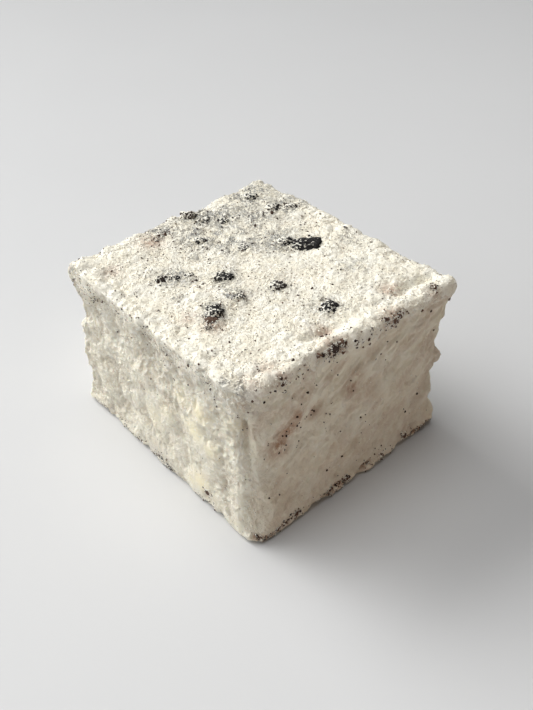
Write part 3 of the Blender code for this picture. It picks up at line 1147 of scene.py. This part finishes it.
def round_chunks(random, each, reach):
    """Points strewn about the chunks, with a spread of reach times a chunk's length.

    By a chunk on a side they stay on that side, and by any other they lie on the top.
    """
    rows = np.repeat(np.array(CHUNKS), each, axis=0)
    strewn = rows[:, :3] + random.normal(size=(len(rows), 3)) * rows[:, 3:4] * reach
    at_side = abs(rows[:, 0]) >= HALF_X
    strewn[at_side, 0] = rows[at_side, 0]
    at_end = abs(rows[:, 1]) >= HALF_Y
    strewn[at_end, 1] = rows[at_end, 1]
    flat = ~(at_side | at_end)
    strewn[flat, 2] = TOP
    return np.clip(strewn, (-HALF_X, -HALF_Y, 0.4), (HALF_X, HALF_Y, TOP))


def in_groove(random, count):
    """Points strewn along the groove above the foot of the +X side."""
    level = random.uniform(-HALF_Y, HALF_Y, count)
    points = np.column_stack((np.full(count, HALF_X), level, np.zeros(count)))
    height, depth = foot_groove(points)
    points[:, 2] = np.clip(height + random.normal(0, 0.3, count), 0.3, None)
    return keep(points, depth, random)


def make_crumbs():
    """Crumbs of a quarter to three quarters of a millimetre, most of them near chunks."""
    random = np.random.default_rng(90)
    rim = on_wall(random, 500, TOP - 3, TOP)
    rim = keep(rim, 0.25 * smooth_step(0.0, 0.6, lump_noise(rim, 3.4, 93)), random)
    top = on_top(random, 700)
    top = keep(top, 0.02 + 0.16 * smudged(top), random)
    plain = np.concatenate((round_chunks(random, 4, 0.40), in_groove(random, 110), rim, top))
    sideways = plain[:, 2] < TOP - 0.1
    at_foot = plain[:, 2] < 3
    count = len(plain)
    scatter(
        "cookie_crumbs",
        ball_shape(2),
        plain,
        random.uniform(0.34, 0.72, count) * random.uniform(0.7, 1.1, count),
        CRUMB_LIFT,
        COOKIE,
        "cookie_crumb",
        brown=random.uniform(0.0, 0.5, count) * (1 + sideways) + 0.15 * sideways,
        dust=random.uniform(0.2, 0.5, count) * (1 - 0.4 * sideways + 0.4 * at_foot),
    )


def make_specks():
    """The specks, denser by the rim, the foot and the dirty parts of the top."""
    random = np.random.default_rng(91)
    top = on_top(random, 4200)
    top_chance = 0.10 + 0.45 * smooth_step(0.0, 0.7, lump_noise(top, 2.4, 92))
    top_chance += 0.22 * smudged(top)
    top_chance += 0.8 * spots_on(top, BROWN_SMUDGES, (0, 1))
    top = keep(top, top_chance, random)

    rim = on_wall(random, 2600, TOP - 8, TOP)
    rim_chance = smooth_step(TOP - 7, TOP - 2, rim[:, 2])
    rim_chance = rim_chance * smooth_step(-0.1, 0.7, lump_noise(rim, 2.6, 93))
    rim_chance = rim_chance * (1 - 0.85 * on_side(rim, "+X") * (rim[:, 2] < TOP - 2))
    rim = keep(rim, rim_chance, random)

    foot = on_wall(random, 1400, 0.3, 2.6)
    foot_chance = smooth_step(2.8, 1.0, foot[:, 2])
    foot_chance = foot_chance * smooth_step(0.0, 0.7, lump_noise(foot, 3.0, 63))
    foot = keep(foot, foot_chance, random)

    wall = on_wall(random, 220, 2, TOP - 3)
    strewn = (top, rim, foot, wall, round_chunks(random, 16, 0.45), in_groove(random, 800))
    plain = np.concatenate(strewn)
    diameters = random.uniform(0.14, 0.36, len(plain)) * random.uniform(0.6, 1.2, len(plain))
    brown = random.uniform(0.3, 1.0, len(plain))
    settled = (plain[:, 2] < 3) | (plain[:, 2] > TOP - 0.1)
    dust = random.uniform(0.0, 0.35, len(plain)) + 0.15 * settled

    level, height, named_diameters = np.array(CUT_SIDE_SPECKS).T
    named = np.column_stack((np.full(len(level), HALF_X), level, height))
    scatter(
        "cookie_specks",
        ball_shape(1),
        np.concatenate((plain, named)),
        np.concatenate((diameters, named_diameters)),
        SPECK_LIFT,
        COOKIE,
        "cookie_crumb",
        brown=np.concatenate((brown, 0.35 + 0 * level)),
        dust=np.concatenate((dust, 0 * level)),
    )


make_crumbs()
make_specks()


# ---------------------------------------------------------------------------
# Powder grains: clumped icing sugar that has not sunk in, lying loose on the top, the
# rim and the torn sides. Each is an eight-sided grain, pulled about as the specks are.
# ---------------------------------------------------------------------------

POWDER_LIFT = 0.45
EIGHT_SIDED = (  # the points of a grain, and its upper and lower faces
    np.array([(1, 0, 0), (0, 1, 0), (0, 0, 1), (-1, 0, 0), (0, -1, 0), (0, 0, -1)]),
    np.array(
        [
            *((0, 1, 2), (1, 3, 2), (3, 4, 2), (4, 0, 2)),
            *((1, 0, 5), (3, 1, 5), (4, 3, 5), (0, 4, 5)),
        ]
    ),
)

GRAIN_CREAM = (0.94, 0.90, 0.79, 1)
GRAIN_WHITE = (0.97, 0.95, 0.88, 1)
GRAIN_GREY = (0.30, 0.30, 0.29, 1)


def powder_finish():
    """White powder grains, some of them greyed by cookie dust."""
    finish = Finish("powder_grain")
    tone = finish.noise(0.8)
    colour = finish.blend(tone, GRAIN_CREAM, GRAIN_WHITE)
    colour = finish.blend(finish.attribute("grey"), colour, GRAIN_GREY)
    finish.set_inputs(
        finish.surface,
        {"Base Color": colour, "Roughness": 0.85 + 0.1 * tone, "Specular IOR Level": 0.2},
    )
    return finish.material


def make_powder_grains():
    """The grains: thick where the top is dirty and at the rim, and round the chunks."""
    random = np.random.default_rng(95)
    top = on_top(random, 24000)
    patches = smooth_step(-0.3, 0.6, lump_noise(top, 2.0, 96))
    top = keep(top, 0.10 + 0.25 * patches + 0.5 * smudged(top), random)
    wall = on_wall(random, 32000, 0.6, TOP)
    torn = np.maximum(on_side(wall, "-Y"), 0.6 * on_side(wall, "-X"))
    near_rim = smooth_step(TOP - 3.5, TOP - 0.5, wall[:, 2])
    patches = smooth_step(-0.5, 0.5, lump_noise(wall, 1.8, 97))
    wall = keep(wall, 0.02 + patches * np.maximum(0.50 * torn, 0.7 * near_rim), random)
    plain = np.concatenate((top, wall, round_chunks(random, 70, 0.40)))
    on_top_side = plain[:, 2] > TOP - 0.5
    scatter(
        "powder_grains",
        EIGHT_SIDED,
        plain,
        0.16 + 0.18 * random.random(len(plain)) ** 2,
        POWDER_LIFT,
        powder_finish(),
        "sugar_dusting",
        grey=smudged(plain) * on_top_side * random.random(len(plain)) ** 1.5,
    )


make_powder_grains()


# ---------------------------------------------------------------------------
# Stage, light and camera: a pale matt table, a wide window of light low on the -X side,
# a dim ceiling, and a pale and a warm wall that lift the sides in its shade.
# ---------------------------------------------------------------------------

CAMERA_PLACE = Vector((0.0937, -0.0725, 0.1043))
CAMERA_LENS = 44.62
CAMERA_AZIMUTH = math.radians(51.61)
CAMERA_ELEVATION = math.radians(37.83)
CAMERA_ROLL = math.radians(-2.44)

NEUTRAL = (1.0, 0.995, 0.985)
COOL = (0.99, 0.995, 1.0)
WARM = (1.0, 0.64, 0.41)
LIGHTS = (  # name, azimuth, elevation, distance, size, spread, power, colour, aim
    ("window", 202, 34, 1.3, (1.10, 0.70), 60, 3.52, NEUTRAL, (0.04, -0.12, 0)),
    ("ceiling", 200, 82, 1.0, (0.80, 0.80), 60, 0.77, NEUTRAL, (0, -0.05, 0)),
    ("pale_wall", 250, 25, 0.9, (0.80, 0.50), 180, 2.15, COOL, (0, 0, 0.01)),
    ("warm_wall", 5, 8, 0.8, (0.90, 0.20), 180, 0.53, WARM, (0, 0, 0.01)),
)
ROOM = (0.97, 0.985, 1.0, 1)
ROOM_STRENGTH = 0.100


TABLE_GREYS = ((0.625, 0.63, 0.635, 1), (0.64, 0.645, 0.65, 1))
TABLE_HALF = 2.5  # in metres


def make_floor():
    """The table top: one flat matt sheet at the height of the base."""
    finish = Finish("table_top")
    mottle = finish.noise(40.0)
    colour = finish.blend(mottle, *TABLE_GREYS)
    finish.set_inputs(
        finish.surface,
        {"Base Color": colour, "Roughness": 0.6 + 0.1 * mottle, "Specular IOR Level": 0.2},
    )
    floor_mesh = bmesh.new()
    bmesh.ops.create_grid(floor_mesh, x_segments=2, y_segments=2, size=TABLE_HALF)
    mesh = bpy.data.meshes.new("floor")
    floor_mesh.to_mesh(mesh)
    floor_mesh.free()
    mesh.materials.append(finish.material)
    floor = bpy.data.objects.new("floor", mesh)
    bpy.context.scene.collection.objects.link(floor)


def add_light(name, azimuth, elevation, distance, size, spread, power, colour, aim):
    """A rectangular area light in a direction in degrees, looking at the point aim.

    The azimuth turns from +X towards +Y, and spread is the width of its beam.
    """
    azimuth, elevation = math.radians(azimuth), math.radians(elevation)
    light = bpy.data.lights.new(name, "AREA")
    light.shape = "RECTANGLE"
    light.size, light.size_y = size
    light.spread = math.radians(spread)
    light.energy = power
    light.color = colour
    away = Vector(
        (
            math.cos(azimuth) * math.cos(elevation),
            math.sin(azimuth) * math.cos(elevation),
            math.sin(elevation),
        )
    )
    lamp = bpy.data.objects.new(name, light)
    lamp.location = away * distance
    lamp.rotation_euler = (lamp.location - Vector(aim)).to_track_quat("Z", "Y").to_euler()
    lamp.visible_camera = False
    bpy.context.scene.collection.objects.link(lamp)


def make_camera():
    """A camera looking down at the +X -Y edge, with a slight roll."""
    camera = bpy.data.cameras.new("camera")
    camera.lens = CAMERA_LENS
    camera.clip_start = 0.005
    holder = bpy.data.objects.new("camera", camera)
    tilt = Euler((math.pi / 2 - CAMERA_ELEVATION, 0, CAMERA_AZIMUTH), "XYZ").to_matrix()
    roll = Euler((0, 0, CAMERA_ROLL), "XYZ").to_matrix()
    holder.rotation_euler = (tilt @ roll).to_euler()
    holder.location = CAMERA_PLACE
    bpy.context.scene.collection.objects.link(holder)
    bpy.context.scene.camera = holder


make_floor()
make_camera()
for light in LIGHTS:
    add_light(*light)

world = bpy.data.worlds.new("room")
world.use_nodes = True
world.node_tree.nodes["Background"].inputs["Color"].default_value = ROOM
world.node_tree.nodes["Background"].inputs["Strength"].default_value = ROOM_STRENGTH
bpy.context.scene.world = world
bpy.context.scene.view_settings.view_transform = "Standard"
